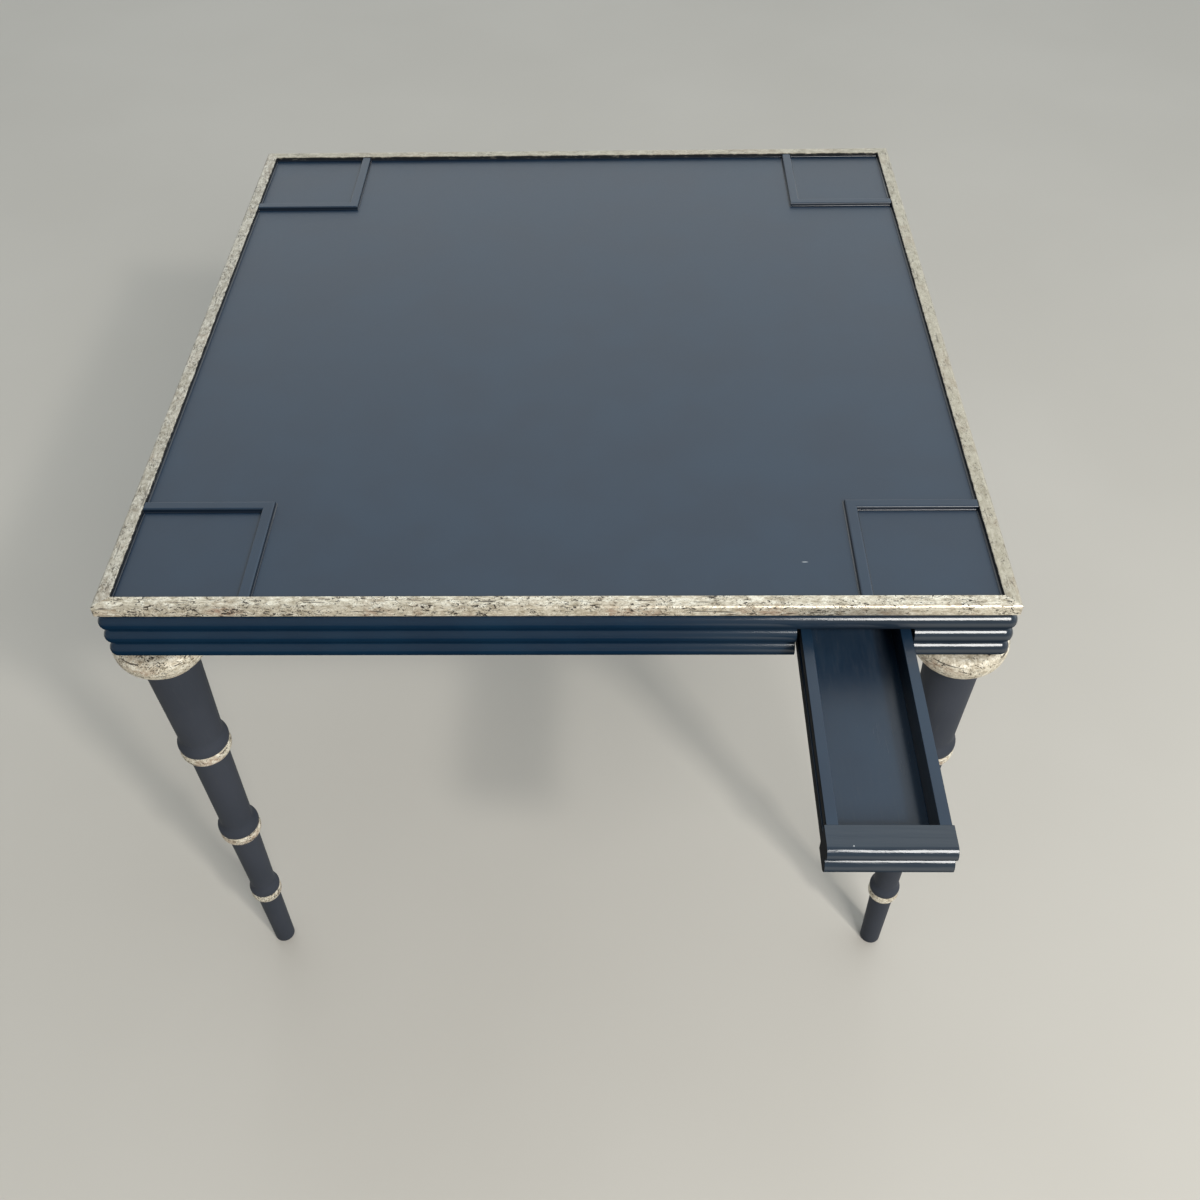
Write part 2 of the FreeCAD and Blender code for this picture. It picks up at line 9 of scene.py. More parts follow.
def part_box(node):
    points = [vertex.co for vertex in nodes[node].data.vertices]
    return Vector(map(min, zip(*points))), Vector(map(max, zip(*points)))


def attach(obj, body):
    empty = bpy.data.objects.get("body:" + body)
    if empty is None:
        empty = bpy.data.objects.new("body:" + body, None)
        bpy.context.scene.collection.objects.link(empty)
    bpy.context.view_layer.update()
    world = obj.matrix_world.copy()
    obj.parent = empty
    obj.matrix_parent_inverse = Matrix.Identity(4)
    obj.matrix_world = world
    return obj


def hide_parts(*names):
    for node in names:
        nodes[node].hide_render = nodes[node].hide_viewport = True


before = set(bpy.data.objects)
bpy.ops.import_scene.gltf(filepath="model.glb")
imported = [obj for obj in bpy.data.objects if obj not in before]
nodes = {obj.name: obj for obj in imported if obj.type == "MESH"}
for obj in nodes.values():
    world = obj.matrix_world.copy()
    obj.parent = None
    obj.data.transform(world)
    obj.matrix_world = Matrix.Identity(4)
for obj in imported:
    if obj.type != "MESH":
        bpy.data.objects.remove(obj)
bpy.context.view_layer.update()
scene = bpy.context.scene

SIDES = ("front", "right", "back", "left")
CORNERS = ("front_left", "front_right", "back_right", "back_left")

# Linear colours. Lacquer tones are (deep, middle, grey), and leaf tones (dim, middle, pale).
FIELD_TONES = ((0.0075, 0.022, 0.046, 1), (0.0095, 0.028, 0.056, 1), (0.016, 0.031, 0.054, 1))
REED_TONES = ((0.0045, 0.018, 0.041, 1), (0.0055, 0.023, 0.05, 1), (0.011, 0.027, 0.049, 1))
# Greyer than the reeds' tones: the extra grey on the drawers' faces is painted sheen.
FACE_TONES = ((0.0105, 0.024, 0.045, 1), (0.0125, 0.029, 0.054, 1), (0.018, 0.033, 0.053, 1))
LEG_TONES = ((0.04, 0.046, 0.059, 1), (0.048, 0.054, 0.069, 1), (0.057, 0.061, 0.07, 1))
# Darker than the field's tones: the paint fillets carry painted shade in the corners they fill.
BEAD_SHADE_TONES = ((0.0015, 0.006, 0.016, 1), (0.002, 0.008, 0.02, 1), (0.005, 0.011, 0.02, 1))
# Near-black navy laid on as painted shade: on upright faces, on the rims' inner faces and on the drawers'
# outsides.
PAINTED_SHADE_NAVY = (0.002, 0.0035, 0.006, 1)
# The drawers' outsides and face ends: near-black as painted shade.
OUTSIDE_SHADE_TONES = (PAINTED_SHADE_NAVY, (0.004, 0.0065, 0.0105, 1), (0.011, 0.013, 0.014, 1))
# Grey that the reeds and faces are blended towards on the right of the table: a painted reflection.
PAINTED_REFLECTION_GREY = (0.036, 0.041, 0.045, 1)
SCUFF = (0.42, 0.45, 0.48, 1)
LEAF_TONES = ((0.39, 0.335, 0.245, 1), (0.66, 0.6, 0.48, 1), (0.85, 0.805, 0.685, 1))
# Darker copy of the front leaf for the left rim: the darkening is painted shade.
LEAF_SHADED_LEFT_TONES = ((0.3, 0.27, 0.21, 1), (0.47, 0.435, 0.36, 1), (0.61, 0.58, 0.5, 1))
# Darker, less varied copy of the front leaf for the back and right rims: the darkening is painted shade.
LEAF_SHADED_FAR_TONES = ((0.35, 0.315, 0.24, 1), (0.44, 0.405, 0.32, 1), (0.51, 0.475, 0.385, 1))
FLECK = (0.034, 0.024, 0.015, 1)
BOLE = (0.37, 0.235, 0.165, 1)
WOOD_TONES = ((0.36, 0.235, 0.13, 1), (0.52, 0.37, 0.225, 1))
WOOD_PORE = (0.2, 0.12, 0.065, 1)
STEEL_TONES = ((0.46, 0.47, 0.48, 1), (0.62, 0.62, 0.61, 1))
FLOOR_TONES = ((0.525, 0.5, 0.455, 1), (0.55, 0.525, 0.48, 1))
SKY = (0.93, 0.985, 1, 1)

# Noise patterns: scale in features a metre, detail, roughness and distortion.
DRIFT = (11, 3, 0.5, 0)
STROKES = (330, 3, 0.6, 0)
RIPPLE = (95, 2, 0.5, 0.4)
GRAIN = (1100, 2, 0.5, 0)
LEAF_TONE = (230, 5, 0.68, 0.5)
LEAF_MOTTLE = (700, 2, 0.6, 0)
LEAF_CLOUD = (24, 3, 0.5, 0)
LEAF_CLUSTER = (60, 2, 0.5, 0)
LEAF_FLECK = (430, 3, 0.6, 0.9)
LEAF_PITS = (900, 2, 0.5, 0)
LEAF_CRACKS = (300, 2, 0.5, 0)
WOOD_BANDS = (60, 4, 0.55, 0.8)
WOOD_PORES = (520, 2, 0.6, 0)
STEEL_LINES = (700, 3, 0.5, 0)
FLOOR_CLOUD = (1.3, 3, 0.5, 0)

# How a pattern is scaled along x, y and z: a smaller number draws it out.
EVEN = (1, 1, 1)
X_RUN = (0.1, 1, 1)
Y_RUN = (1, 0.1, 1)
Z_RUN = (1, 1, 0.1)
RUNS = (X_RUN, Y_RUN, Z_RUN)
LEAF_X = (0.5, 1, 1)
LEAF_Y = (1, 0.5, 1)
LEAF_TURNED = (0.75, 0.75, 1.1)
CRACK_ALONG = 0.16
CRACK_ACROSS = 1.5

# A span is the range of a noise value, of a normal's z or of a place in metres over which a finish changes.
# A share is the most that one finish takes from another. Depths are in metres.
UNIT_SPAN = (0, 1)
NOISE_SPAN = (0.3, 0.7)

# Lacquer.
STROKE_SPAN = (0.5, 0.8)
STROKE_SHARE = 0.5
STROKE_RELIEF = 0.25
GLOSS_SPAN = (0.3, 0.75)
GLOSS_BELOW = 0.02
GLOSS_ABOVE = 0.03
GLOSS_DRIFT = 0.012
PEEL_DEPTH = 0.00003
LACQUER_INDEX = 1.55
WALL_SPAN = (0.7, 0.3)
UNDERSIDE_SPAN = (0.05, -0.5)
UNDERSIDE_DULLNESS = 0.3
COAT_SPAN = (0.1, 0.55)
COAT_INDEX = 1.6
COAT_ROUGHNESS = 0.13
RIGHT_SPAN = (0.05, 0.38)
RIGHT_REFLECTION_SHARE = 0.45
RIGHT_REACH = 0.4
FULL_ANISOTROPY = 1.0
MARK_SOFTNESS = 0.6
DENT_DULLNESS = 0.5

# Silver leaf.
MIDDLE_SPAN = (0.34, 0.5)
PALE_SPAN = (0.48, 0.62)
MOTTLE_SPAN = (0.5, 0.66)
MOTTLE_SHARE = 0.5
OUTER_SPAN = (0.5, 0.1)
OUTER_SHARES = (0.25, 1.0)
RUBBED_SPAN = (0.5, 0.66)
RUBBED_SHARE = 0.6
PATCH_SOFTNESS = 0.9
PATCH_SHARE = 0.9
BOLE_SPAN = (0.62, 0.42)
BOLE_SHARES = (0.15, 1.0)
CLUSTER_WEAR = 0.045
LEFT_WEAR_SPAN = (-0.4, 0.3)
LEFT_WEAR = 0.014
FLECK_SPAN = (0.607, 0.627)
PIT_SPAN = (0.645, 0.665)
PIT_SHARE = 0.9
CRACK_SPAN = (0.675, 0.69)
CRACK_SHARE = 0.9
NICK_SOFTNESS = 0.5
WORN_SHINE = 0.05
LEAF_GLOSS = 0.07
EDGE_SPAN = (0.4411, 0.4417)
EDGE_RAGGED = 0.0003
EDGE_DULLNESS = 0.3
TONE_RELIEF = 0.5
CLOUD_DEPTH = 0.0008
LEAF_DEPTH = 0.0003

# Bare wood and plated steel.
BAND_SPAN = (0.35, 0.65)
BAND_DEPTH = 0.0003
PORE_SPAN = (0.56, 0.7)
PORE_SHARE = 0.6
PORE_DEPTH = 0.0002
WOOD_ROUGHNESS = (0.6, 0.75)
STEEL_ROUGHNESS = (0.28, 0.42)
STEEL_DEPTH = 0.00005

# Wear that the photograph shows, each mark of (centre, radii) in metres.
FIELD_SCUFFS = (
    ((0.2522, -0.3901, 0.731), (0.0042, 0.0007, 0.01)),
    ((0.3125, -0.3761, 0.731), (0.0010, 0.0012, 0.01)),
)
REED_DENTS = (
    ((0.3330, -0.4545, 0.7125), (0.0011, 0.005, 0.004)),
    ((0.3365, -0.4555, 0.7105), (0.0008, 0.005, 0.003)),
)
LEDGE_SPECKS = (((0.2666, -0.6997, 0.6974), (0.0009, 0.0009, 0.001)),)
RIM_PATCHES = (((-0.325, -0.4555, 0.731), (0.028, 0.01, 0.008)),)
COLLAR_NICKS = (((-0.4287, -0.4562, 0.6272), (0.0032, 0.002, 0.0014)),)

# Meshes, with lengths in metres.
SHARP_ANGLE = math.radians(50)
FLAT_ANGLE = math.radians(1)
WELD_DISTANCE = 0.00001
LENGTHWISE = 0.9
OUTWARD = 0.7
EASED_WIDTH = 0.0008
EASED_STEPS = 3
EASED_PROFILE = 0.5
PAINT_RADIUS = 0.0016
PAINT_STEPS = 6
PAINT_SUNK = 0.0001
FLOOR_RADIUS = 14
FLOOR_SEGMENTS = 96

# Floor finish, studio surround and camera.
FLOOR_ROUGHNESS = 0.7
SKY_LEAN = (0.5, 1.0, -0.35)
SKY_SPAN = (-0.6, 0.78)
SKY_LEVELS = (0.3, 1.38)
SENSOR_WIDTH = 36
LENS = 37.05
CAMERA_PITCH = math.radians(47.31)
CAMERA_YAW = math.radians(1.57)
CAMERA_ROLL = math.radians(-1.27)
CAMERA_PLACE = (0.0680, -1.2675, 1.6264)


def fill(tree, node, inputs):
    """Set a shader node's inputs, each to a value or to another node's socket."""
    for key, given in inputs.items():
        if isinstance(given, bpy.types.NodeSocket):
            tree.links.new(given, node.inputs[key])
        else:
            node.inputs[key].default_value = given


def add(tree, kind, inputs=None, **settings):
    """Add a shader node with its settings and inputs."""
    made = tree.nodes.new("ShaderNode" + kind)
    for key, setting in settings.items():
        setattr(made, key, setting)
    fill(tree, made, inputs or {})
    return made


def new_material(name):
    """A material with a shader and nothing else."""
    made = bpy.data.materials.new(name)
    made.use_nodes = True
    tree = made.node_tree
    tree.nodes.clear()
    shader = add(tree, "BsdfPrincipled")
    add(tree, "OutputMaterial", {"Surface": shader.outputs["BSDF"]})
    return made, tree, shader


def place(tree, scale):
    """Object coordinates in metres, scaled along the axes."""
    where = add(tree, "TexCoord").outputs["Object"]
    if scale == EVEN:
        return where
    return add(tree, "Mapping", {"Vector": where, "Scale": scale}).outputs["Vector"]


def axis_of(tree, vector, axis):
    """One coordinate of a vector."""
    return add(tree, "SeparateXYZ", {0: vector}).outputs[axis]


def facing_up(tree):
    """The z of the surface's normal: 1 on top, 0 on a wall and -1 underneath."""
    return axis_of(tree, add(tree, "NewGeometry").outputs["Normal"], "Z")


def noise(tree, vector, pattern):
    """A noise value from one of the patterns above."""
    scale, detail, rough, distortion = pattern
    inputs = {"Vector": vector, "Scale": scale, "Detail": detail, "Roughness": rough}
    inputs["Distortion"] = distortion
    return add(tree, "TexNoise", inputs).outputs["Fac"]


def fade(tree, value, span, results=(0.0, 1.0)):
    """Map a value from one range to another, smoothly and clamped; either range may run downwards."""
    inputs = {0: value, 1: span[0], 2: span[1], 3: results[0], 4: results[1]}
    return add(tree, "MapRange", inputs, interpolation_type="SMOOTHSTEP").outputs[0]


def maths(tree, operation, first, second=0.0):
    """The result of a sum on one or two values."""
    return add(tree, "Math", {0: first, 1: second}, operation=operation).outputs[0]


def blend(tree, fac, first, second):
    """Mix two colours by a factor."""
    return add(tree, "Mix", {0: fac, 6: first, 7: second}, data_type="RGBA").outputs[2]


def bumps(tree, layers):
    """Chain bump layers of (height, depth)."""
    normal = None
    for height, depth in layers:
        inputs = {"Strength": 1.0, "Distance": depth, "Height": height}
        if normal is not None:
            inputs["Normal"] = normal
        normal = add(tree, "Bump", inputs).outputs["Normal"]
    return normal


def spot(tree, centre, radii, softness):
    """1 inside an ellipsoid round a point, fading to 0 over that share of its radius."""
    scale = [1 / radius for radius in radii]
    offset = [-middle / radius for middle, radius in zip(centre, radii)]
    inputs = {"Vector": place(tree, EVEN), "Location": offset, "Scale": scale}
    local = add(tree, "Mapping", inputs).outputs["Vector"]
    distance = add(tree, "VectorMath", {0: local}, operation="LENGTH").outputs["Value"]
    return fade(tree, distance, (1.0, 1.0 - softness))


def lacquer(name, tones, stretch, rough, wave, peel=PEEL_DEPTH, index=LACQUER_INDEX, coat=0.0, walls=1.0,
            spread=None, marks=(), dents=()):
    """Brushed navy lacquer: faint drift of tone, brush strokes along the piece and fine orange peel.

    wave and peel are the depths of the brush ripple and the orange peel; index is the index of refraction;
    coat is the weight of a glossier last coat, which reaches further down towards the right of the table,
    where the colour is also greyed, a painted reflection; walls is the share of the colour left on upright
    faces, whose darkening is painted shade; spread is the axis round which reflections are drawn out, so
    that they blur along the piece and stay sharp across it; marks are pale scuffs, and dents are dull nicks.
    """
    made, tree, shader = new_material(name)
    where = place(tree, EVEN)
    along = place(tree, stretch)
    upward = facing_up(tree)
    drift = noise(tree, where, DRIFT)
    strokes = noise(tree, along, STROKES)
    ripple = noise(tree, along, RIPPLE)
    grain = noise(tree, where, GRAIN)
    deep, middle, grey = tones
    colour = blend(tree, fade(tree, drift, NOISE_SPAN), deep, middle)
    colour = blend(tree, fade(tree, strokes, STROKE_SPAN, (0, STROKE_SHARE)), colour, grey)
    gloss = fade(tree, strokes, GLOSS_SPAN, (rough - GLOSS_BELOW, rough + GLOSS_ABOVE))
    gloss = maths(tree, "ADD", gloss, fade(tree, drift, NOISE_SPAN, (-GLOSS_DRIFT, GLOSS_DRIFT)))
    normal = bumps(tree, [(ripple, wave), (strokes, wave * STROKE_RELIEF), (grain, peel)])
    # Painted shade: upright faces darken towards near-black navy, keeping the walls share of their colour.
    if walls < 1:
        colour = blend(tree, fade(tree, upward, WALL_SPAN, (0, 1 - walls)), colour, PAINTED_SHADE_NAVY)
    if coat:
        sideways = axis_of(tree, where, "X")
        # Painted reflection: the colour is greyed towards the right of the table.
        colour = blend(tree, fade(tree, sideways, RIGHT_SPAN, (0, RIGHT_REFLECTION_SHARE)), colour, PAINTED_REFLECTION_GREY)
        gloss = maths(tree, "ADD", gloss, fade(tree, upward, UNDERSIDE_SPAN, (0, UNDERSIDE_DULLNESS)))
        reach = maths(tree, "ADD", upward, fade(tree, sideways, RIGHT_SPAN, (0, RIGHT_REACH)))
        weight = fade(tree, reach, COAT_SPAN, (0, coat))
        fill(tree, shader, {"Coat Weight": weight, "Coat Normal": normal})
        fill(tree, shader, {"Coat IOR": COAT_INDEX, "Coat Roughness": COAT_ROUGHNESS})
    if spread:
        tangent = add(tree, "Tangent", direction_type="RADIAL", axis=spread).outputs["Tangent"]
        fill(tree, shader, {"Tangent": tangent, "Anisotropic": FULL_ANISOTROPY})
    for centre, radii in marks:
        colour = blend(tree, spot(tree, centre, radii, MARK_SOFTNESS), colour, SCUFF)
    for centre, radii in dents:
        dent = spot(tree, centre, radii, MARK_SOFTNESS)
        gloss = maths(tree, "ADD", gloss, fade(tree, dent, UNIT_SPAN, (0, DENT_DULLNESS)))
    fill(tree, shader, {"Base Color": colour, "Roughness": gloss, "IOR": index, "Normal": normal})
    return made


def silver_leaf(name, tones, stretch, shiny, rough, flecks=1.0, edge=None, patches=(), nicks=()):
    """Antiqued leaf: mottled champagne tones, dark flecks, pits and cracks, and rubbed bole.

    shiny is how metallic the clean leaf is; flecks is the strength of the flecks, pits and cracks; edge
    names the axis across a rim, whose inner face is lacquer darkened to near black as painted shade;
    patches are rubbed places, and nicks dark ones.
    """
    made, tree, shader = new_material(name)
    where = place(tree, EVEN)
    along = place(tree, stretch)
    crack_run = [share * (CRACK_ALONG if share < 1 else CRACK_ACROSS) for share in stretch]
    tone = noise(tree, along, LEAF_TONE)
    mottle = noise(tree, along, LEAF_MOTTLE)
    cloud = noise(tree, where, LEAF_CLOUD)
    cluster = noise(tree, where, LEAF_CLUSTER)
    fleck = noise(tree, along, LEAF_FLECK)
    pits = noise(tree, where, LEAF_PITS)
    cracks = noise(tree, place(tree, crack_run), LEAF_CRACKS)
    dim, middle, pale = tones
    colour = blend(tree, fade(tree, tone, MIDDLE_SPAN), dim, middle)
    colour = blend(tree, fade(tree, tone, PALE_SPAN), colour, pale)
    colour = blend(tree, fade(tree, mottle, MOTTLE_SPAN, (0, MOTTLE_SHARE)), colour, dim)

    # Bole shows where the leaf is rubbed, most on outer faces and in the dim tones.
    outer = fade(tree, facing_up(tree), OUTER_SPAN, OUTER_SHARES)
    rubbed = maths(tree, "MULTIPLY", fade(tree, cloud, RUBBED_SPAN, (0, RUBBED_SHARE)), outer)
    for centre, radii in patches:
        patch = spot(tree, centre, radii, PATCH_SOFTNESS)
        rubbed = maths(tree, "MAXIMUM", rubbed, fade(tree, patch, UNIT_SPAN, (0, PATCH_SHARE)))
    rubbed = maths(tree, "MULTIPLY", rubbed, fade(tree, tone, BOLE_SPAN, BOLE_SHARES))
    colour = blend(tree, rubbed, colour, BOLE)

    # Flecks and pits come in clusters, and are a little denser to the left of the table.
    sideways = axis_of(tree, where, "X")
    worn = fade(tree, cluster, NOISE_SPAN, (-CLUSTER_WEAR, CLUSTER_WEAR))
    worn = maths(tree, "ADD", worn, fade(tree, sideways, LEFT_WEAR_SPAN, (LEFT_WEAR, -LEFT_WEAR)))
    dark = fade(tree, maths(tree, "ADD", fleck, worn), FLECK_SPAN)
    pitted = fade(tree, maths(tree, "ADD", pits, worn), PIT_SPAN, (0, PIT_SHARE))
    dark = maths(tree, "MAXIMUM", dark, pitted)
    dark = maths(tree, "MAXIMUM", dark, fade(tree, cracks, CRACK_SPAN, (0, CRACK_SHARE)))
    dark = maths(tree, "MULTIPLY", dark, flecks)
    for centre, radii in nicks:
        dark = maths(tree, "MAXIMUM", dark, spot(tree, centre, radii, NICK_SOFTNESS))
    colour = blend(tree, dark, colour, FLECK)

    shine = fade(tree, maths(tree, "MAXIMUM", dark, rubbed), UNIT_SPAN, (shiny, WORN_SHINE))
    gloss = fade(tree, tone, NOISE_SPAN, (rough + LEAF_GLOSS, rough - LEAF_GLOSS))
    if edge:
        across = maths(tree, "ABSOLUTE", axis_of(tree, where, edge))
        ragged = fade(tree, tone, NOISE_SPAN, (-EDGE_RAGGED, EDGE_RAGGED))
        leafed = fade(tree, maths(tree, "ADD", across, ragged), EDGE_SPAN)
        # The rim's inner face is lacquer instead of leaf; its near-black colour is painted shade.
        colour = blend(tree, leafed, PAINTED_SHADE_NAVY, colour)
        shine = maths(tree, "MULTIPLY", shine, leafed)
        gloss = maths(tree, "ADD", gloss, fade(tree, leafed, UNIT_SPAN, (EDGE_DULLNESS, 0)))
    height = maths(tree, "SUBTRACT", maths(tree, "MULTIPLY", tone, TONE_RELIEF), dark)
    normal = bumps(tree, [(cloud, CLOUD_DEPTH), (height, LEAF_DEPTH)])
    fill(tree, shader, {"Base Color": colour, "Metallic": shine, "Roughness": gloss, "Normal": normal})
    return made


def bare_wood(name, stretch):
    """Unfinished hardwood: bands of grain, pores and a dry surface."""
    made, tree, shader = new_material(name)
    along = place(tree, stretch)
    bands = noise(tree, along, WOOD_BANDS)
    pores = noise(tree, along, WOOD_PORES)
    colour = blend(tree, fade(tree, bands, BAND_SPAN), *WOOD_TONES)
    colour = blend(tree, fade(tree, pores, PORE_SPAN, (0, PORE_SHARE)), colour, WOOD_PORE)
    gloss = fade(tree, pores, NOISE_SPAN, WOOD_ROUGHNESS)
    normal = bumps(tree, [(bands, BAND_DEPTH), (pores, -PORE_DEPTH)])
    fill(tree, shader, {"Base Color": colour, "Roughness": gloss, "Normal": normal})
    return made


def plated_steel(name):
    """Plated steel with fine upright lines."""
    made, tree, shader = new_material(name)
    lines = noise(tree, place(tree, Z_RUN), STEEL_LINES)
    colour = blend(tree, lines, *STEEL_TONES)
    gloss = fade(tree, lines, NOISE_SPAN, STEEL_ROUGHNESS)
    normal = bumps(tree, [(lines, STEEL_DEPTH)])
    fill(tree, shader, {"Base Color": colour, "Metallic": 1.0, "Roughness": gloss, "Normal": normal})
    return made


# Finishes. A list holds one for pieces along x, one for pieces along y and, for some, one along z.
REED_GLOSS = {"rough": 0.4, "index": 1.02, "coat": 0.95}
field = lacquer("navy_field", FIELD_TONES, EVEN, rough=0.36, wave=0.00004, marks=FIELD_SCUFFS)
reeds = [
    lacquer("navy_reeds_x", REED_TONES, X_RUN, wave=0.00022, dents=REED_DENTS, **REED_GLOSS),
    lacquer("navy_reeds_y", REED_TONES, Y_RUN, wave=0.00022, **REED_GLOSS),
]
# The faces' greyer tones are painted sheen.
faces = [
    lacquer("navy_faces_x", FACE_TONES, X_RUN, wave=0.0005, marks=LEDGE_SPECKS, **REED_GLOSS),
    lacquer("navy_faces_y", FACE_TONES, Y_RUN, wave=0.0005, **REED_GLOSS),
]
# Strips and boards carry painted shade on their upright faces.
strips = [
    lacquer(f"navy_strips_{axis}", FIELD_TONES, run, rough=0.36, wave=0.00006, walls=0.35)
    for axis, run in zip("xy", RUNS)
]
boards = [
    lacquer(f"navy_boards_{axis}", FIELD_TONES, run, rough=0.34, wave=0.0001, walls=0.25)
    for axis, run in zip("xyz", RUNS)
]
trays = [
    lacquer(f"navy_trays_{axis}", FIELD_TONES, run, rough=0.24, wave=0.00002, peel=0.000002, spread=spread)
    for axis, run, spread in zip("xy", RUNS, "YX")
]
# Dark lacquer for the paint fillets: painted shade in the corners.
beads = lacquer("navy_beads", BEAD_SHADE_TONES, EVEN, rough=0.1, wave=0.0001)
# Near-black, dull lacquer for the drawers' outsides: painted shade.
painted_shade_outsides = lacquer("navy_outsides", OUTSIDE_SHADE_TONES, EVEN, rough=0.8, wave=0.0001, index=1.2)
turned = lacquer("navy_turned", LEG_TONES, Z_RUN, rough=0.5, wave=0.0001, index=1.12)
SIDE_LEAF = {"shiny": 0.35, "rough": 0.4}
# The left, back and right rims take darker copies of the front leaf as painted shade; their fewer flecks are
# the leaf's own.
rims = {
    "rim_front": silver_leaf("leaf_rim_front", LEAF_TONES, LEAF_X, shiny=0.45, rough=0.37, edge="Y",
                             patches=RIM_PATCHES),
    "rim_left": silver_leaf("leaf_rim_sides", LEAF_SHADED_LEFT_TONES, LEAF_Y, flecks=0.7, edge="X", **SIDE_LEAF),
    "rim_back": silver_leaf("leaf_rim_back", LEAF_SHADED_FAR_TONES, LEAF_X, flecks=0.5, edge="Y", **SIDE_LEAF),
    "rim_right": silver_leaf("leaf_rim_right", LEAF_SHADED_FAR_TONES, LEAF_Y, flecks=0.6, edge="X", **SIDE_LEAF),
}
turned_leaf = silver_leaf("leaf_turned", LEAF_TONES, LEAF_TURNED, shiny=0.18, rough=0.6, nicks=COLLAR_NICKS)
woods = [bare_wood(f"bare_wood_{axis}", run) for axis, run in zip("xyz", RUNS)]
steel = plated_steel("plated_steel")


def longest_axis(node):
    """0, 1 or 2 for a piece that is longest along x, y or z."""
    low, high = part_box(node)
    spans = list(high - low)
    return spans.index(max(spans))


def finish_of(node):
    """The material of a carried-over piece."""
    if node == "top_panel":
        return field
    if node in rims:
        return rims[node]
    if node.startswith(("leg_rings_", "collar_")):
        return turned_leaf
    if node.startswith(("leg_studs", "leg_inserts")):
        return steel
    if node.startswith("leg_"):
        return turned
    if node.startswith("corner_block_"):
        return woods[2]
    if node.endswith("_guides"):
        return woods[0 if node.startswith(("right", "left")) else 1]
    if node == "drawer_stops":
        return woods[0]
    if node.startswith("apron_"):
        return reeds[longest_axis(node)]
    if node.startswith("corner_strip_"):
        return strips[longest_axis(node)]
    if node.endswith("_face"):
        return faces[longest_axis(node)]
    if node.endswith("_bottom"):
        return trays[longest_axis(node)]
    return boards[longest_axis(node)]


for node, piece in nodes.items():
    piece.data.materials.clear()
    piece.data.materials.append(finish_of(node))


def smooth_shading(mesh):
    """Give each corner the normal of the wide faces round it, and split it at sharp edges."""
    split = math.cos(SHARP_ANGLE)
    around = [[] for _ in mesh.vertices]
    for face in mesh.polygons:
        face.use_smooth = True
        for vertex in face.vertices:
            around[vertex].append(face.index)
    normals = [None] * len(mesh.loops)
    for face in mesh.polygons:
        for loop in face.loop_indices:
            total = Vector()
            for other in around[mesh.loops[loop].vertex_index]:
                neighbour = mesh.polygons[other]
                if neighbour.normal.dot(face.normal) > split:
                    total += neighbour.normal * neighbour.area
            normals[loop] = total.normalized() if total.length else face.normal
    mesh.normals_split_custom_set(normals)


def add_piece(name, shape, material, body):
    """Finish a mesh as a piece that rides on a body."""
    bmesh.ops.recalc_face_normals(shape, faces=shape.faces)
    mesh = bpy.data.meshes.new(name)
    shape.to_mesh(mesh)
    shape.free()
    smooth_shading(mesh)
    piece = bpy.data.objects.new(name, mesh)
    scene.collection.objects.link(piece)
    mesh.materials.append(material)
    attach(piece, body)
    return piece


def paint_shade_outside(mesh, face):
    """Paint shade on the drawer's outer sides and face ends: they take a near-black, dull lacquer."""
    low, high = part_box(face)
    across = longest_axis(face)
    middle = (low[across] + high[across]) / 2
    mesh.materials.append(painted_shade_outsides)
    for polygon in mesh.polygons:
        lean = polygon.normal[across]
        if abs(lean) > OUTWARD and lean * (polygon.center[across] - middle) > 0:
            polygon.material_index = 1


def ease_edges(node, body):
    """Stand a copy in for a drawer's board with its long outer edges rounded, or all those of its face."""
    run = Vector([float(axis == longest_axis(node)) for axis in range(3)])
    shape = bmesh.new()
    shape.from_mesh(nodes[node].data)
    bmesh.ops.remove_doubles(shape, verts=shape.verts, dist=WELD_DISTANCE)
    bmesh.ops.dissolve_limit(shape, angle_limit=FLAT_ANGLE, verts=shape.verts, edges=shape.edges)
    sharp = []
    for line in shape.edges:
        way = (line.verts[1].co - line.verts[0].co).normalized()
        lengthwise = abs(way.dot(run)) > LENGTHWISE or node.endswith("_face")
        if line.is_manifold and lengthwise and line.calc_face_angle_signed() > SHARP_ANGLE:
            sharp.append(line)
    bmesh.ops.bevel(shape, geom=sharp, offset=EASED_WIDTH, segments=EASED_STEPS, profile=EASED_PROFILE,
                    affect="EDGES", clamp_overlap=True)
    piece = add_piece(f"{node}_eased", shape, finish_of(node), body)
    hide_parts(node)
    paint_shade_outside(piece.data, f"{body}_face")


for side in SIDES:
    for board in ("face", "left_side", "right_side", "back"):
        ease_edges(f"{side}_drawer_{board}", f"{side}_drawer")


